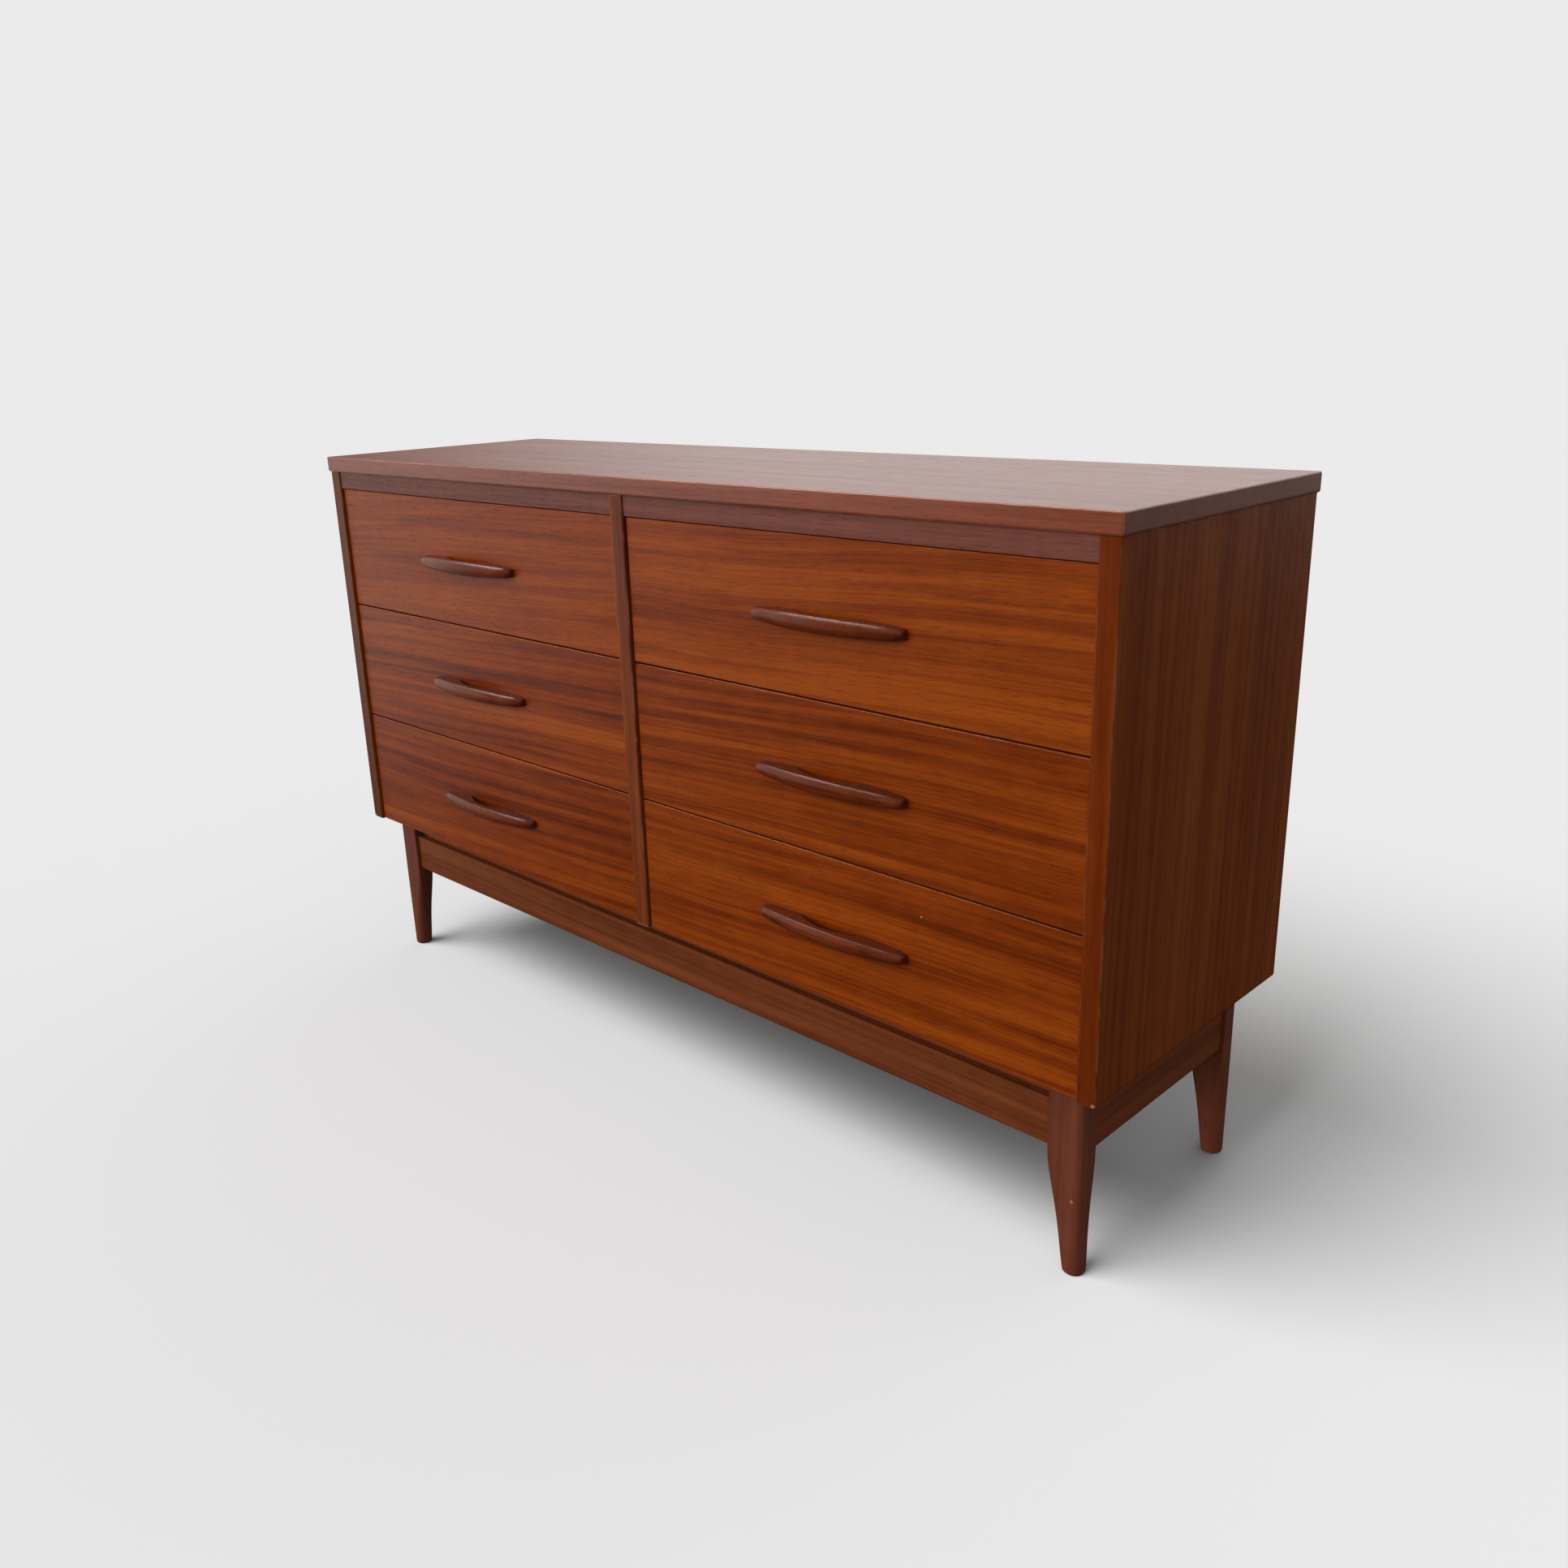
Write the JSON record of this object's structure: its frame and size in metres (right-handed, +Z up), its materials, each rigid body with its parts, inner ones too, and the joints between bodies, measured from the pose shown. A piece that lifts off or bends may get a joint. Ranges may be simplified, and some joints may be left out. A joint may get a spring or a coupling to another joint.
{
  "type": "dresser with drawers",
  "caption": "Low wide wooden dresser with two columns of sliding drawers, carved bow pulls, a thin overhanging top and a base of tapered legs joined by aprons.",
  "frame": {"origin": "on the floor, under the middle of the whole object with its handles", "axes": "+X to the right as seen from the front, +Y to the back, +Z up; the drawers open towards -Y"},
  "size_m": [1.32, 0.396, 0.779],
  "materials": {
    "case_wood": "satin reddish brown ribbon-striped veneer",
    "front_wood": "satin orange-brown ribbon-striped veneer, grain along the drawer",
    "base_wood": "satin reddish brown solid wood",
    "handle_wood": "satin carved reddish brown solid wood",
    "box_wood": "bare pale secondary wood",
    "panel_board": "thin plywood, unpolished",
    "screw_steel": "plain steel"
  },
  "bodies": {
    "carcass": {"top_panel": "case_wood", "side_panel_left": "case_wood", "side_panel_right": "case_wood", "centre_divider": "case_wood", "top_rail_left": "case_wood", "top_rail_right": "case_wood", "bottom_panel": "panel_board", "back_panel": "panel_board", "drawer_runners": "box_wood", "leg_front_left": "base_wood", "leg_front_right": "base_wood", "leg_rear_left": "base_wood", "leg_rear_right": "base_wood", "apron_front": "base_wood", "apron_rear": "base_wood", "apron_left": "base_wood", "apron_right": "base_wood", "corner_blocks": "box_wood"},
    "drawer_lower_left": {"drawer_lower_left_front": "front_wood", "drawer_lower_left_side_left": "box_wood", "drawer_lower_left_side_right": "box_wood", "drawer_lower_left_back": "box_wood", "drawer_lower_left_bottom": "panel_board", "drawer_lower_left_handle": "handle_wood", "drawer_lower_left_handle_screws": "screw_steel"},
    "drawer_lower_right": {"drawer_lower_right_front": "front_wood", "drawer_lower_right_side_left": "box_wood", "drawer_lower_right_side_right": "box_wood", "drawer_lower_right_back": "box_wood", "drawer_lower_right_bottom": "panel_board", "drawer_lower_right_handle": "handle_wood", "drawer_lower_right_handle_screws": "screw_steel"},
    "drawer_middle_left": {"drawer_middle_left_front": "front_wood", "drawer_middle_left_side_left": "box_wood", "drawer_middle_left_side_right": "box_wood", "drawer_middle_left_back": "box_wood", "drawer_middle_left_bottom": "panel_board", "drawer_middle_left_handle": "handle_wood", "drawer_middle_left_handle_screws": "screw_steel"},
    "drawer_middle_right": {"drawer_middle_right_front": "front_wood", "drawer_middle_right_side_left": "box_wood", "drawer_middle_right_side_right": "box_wood", "drawer_middle_right_back": "box_wood", "drawer_middle_right_bottom": "panel_board", "drawer_middle_right_handle": "handle_wood", "drawer_middle_right_handle_screws": "screw_steel"},
    "drawer_upper_left": {"drawer_upper_left_front": "front_wood", "drawer_upper_left_side_left": "box_wood", "drawer_upper_left_side_right": "box_wood", "drawer_upper_left_back": "box_wood", "drawer_upper_left_bottom": "panel_board", "drawer_upper_left_handle": "handle_wood", "drawer_upper_left_handle_screws": "screw_steel"},
    "drawer_upper_right": {"drawer_upper_right_front": "front_wood", "drawer_upper_right_side_left": "box_wood", "drawer_upper_right_side_right": "box_wood", "drawer_upper_right_back": "box_wood", "drawer_upper_right_bottom": "panel_board", "drawer_upper_right_handle": "handle_wood", "drawer_upper_right_handle_screws": "screw_steel"}
  },
  "joints": [
    {"name": "drawer_lower_left_slide", "type": "slide", "parent": "carcass", "child": "drawer_lower_left", "axis": [0, -1, 0], "range_m": [0, 0.25]},
    {"name": "drawer_lower_right_slide", "type": "slide", "parent": "carcass", "child": "drawer_lower_right", "axis": [0, -1, 0], "range_m": [0, 0.25]},
    {"name": "drawer_middle_left_slide", "type": "slide", "parent": "carcass", "child": "drawer_middle_left", "axis": [0, -1, 0], "range_m": [0, 0.25]},
    {"name": "drawer_middle_right_slide", "type": "slide", "parent": "carcass", "child": "drawer_middle_right", "axis": [0, -1, 0], "range_m": [0, 0.25]},
    {"name": "drawer_upper_left_slide", "type": "slide", "parent": "carcass", "child": "drawer_upper_left", "axis": [0, -1, 0], "range_m": [0, 0.25]},
    {"name": "drawer_upper_right_slide", "type": "slide", "parent": "carcass", "child": "drawer_upper_right", "axis": [0, -1, 0], "range_m": [0, 0.25]}
  ]
}
